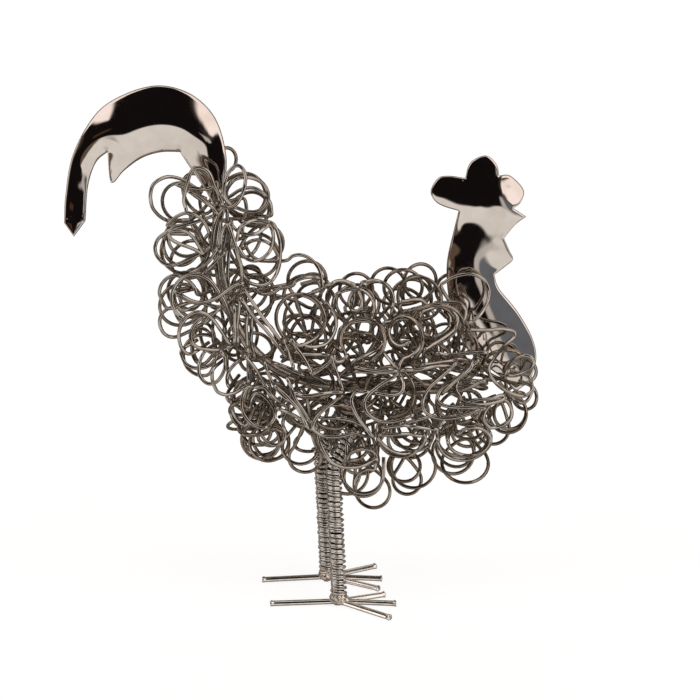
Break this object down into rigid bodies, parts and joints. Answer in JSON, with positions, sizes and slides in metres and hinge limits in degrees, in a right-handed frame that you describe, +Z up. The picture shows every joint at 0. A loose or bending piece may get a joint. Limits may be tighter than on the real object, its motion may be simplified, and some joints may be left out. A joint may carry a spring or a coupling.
{
  "type": "wire rooster ornament",
  "caption": "Standing rooster figure of ringed bright wire wound round a bent rod, with crowned polished plates for head and tail and wire-wrapped legs.",
  "frame": {"origin": "centre of the bird's box on the surface it stands on", "axes": "+X the way the bird faces, +Y to the bird's left, +Z up"},
  "size_m": [0.2156, 0.082, 0.2375],
  "materials": {
    "plate": "mirror-polished nickel plate",
    "wire": "bright nickel-plated drawn wire",
    "rod": "dull nickel-plated rod and weld"
  },
  "bodies": {
    "root": {"tail_plate": "plate", "head_plate": "plate", "spine": "rod", "near_leg": "wire", "near_foot_weld": "rod", "near_back_toe": "rod", "near_inner_toe": "rod", "near_middle_toe": "rod", "near_outer_toe": "rod", "far_leg": "wire", "far_foot_weld": "rod", "far_back_toe": "rod", "far_inner_toe": "rod", "far_middle_toe": "rod", "far_outer_toe": "rod", "coil_tail_1": "wire", "coil_tail_2": "wire", "coil_tail_3": "wire", "coil_tail_4": "wire", "coil_rump": "wire", "coil_back_1": "wire", "coil_back_2": "wire", "coil_back_3": "wire", "coil_breast_1": "wire", "coil_breast_2": "wire"}
  },
  "joints": []
}
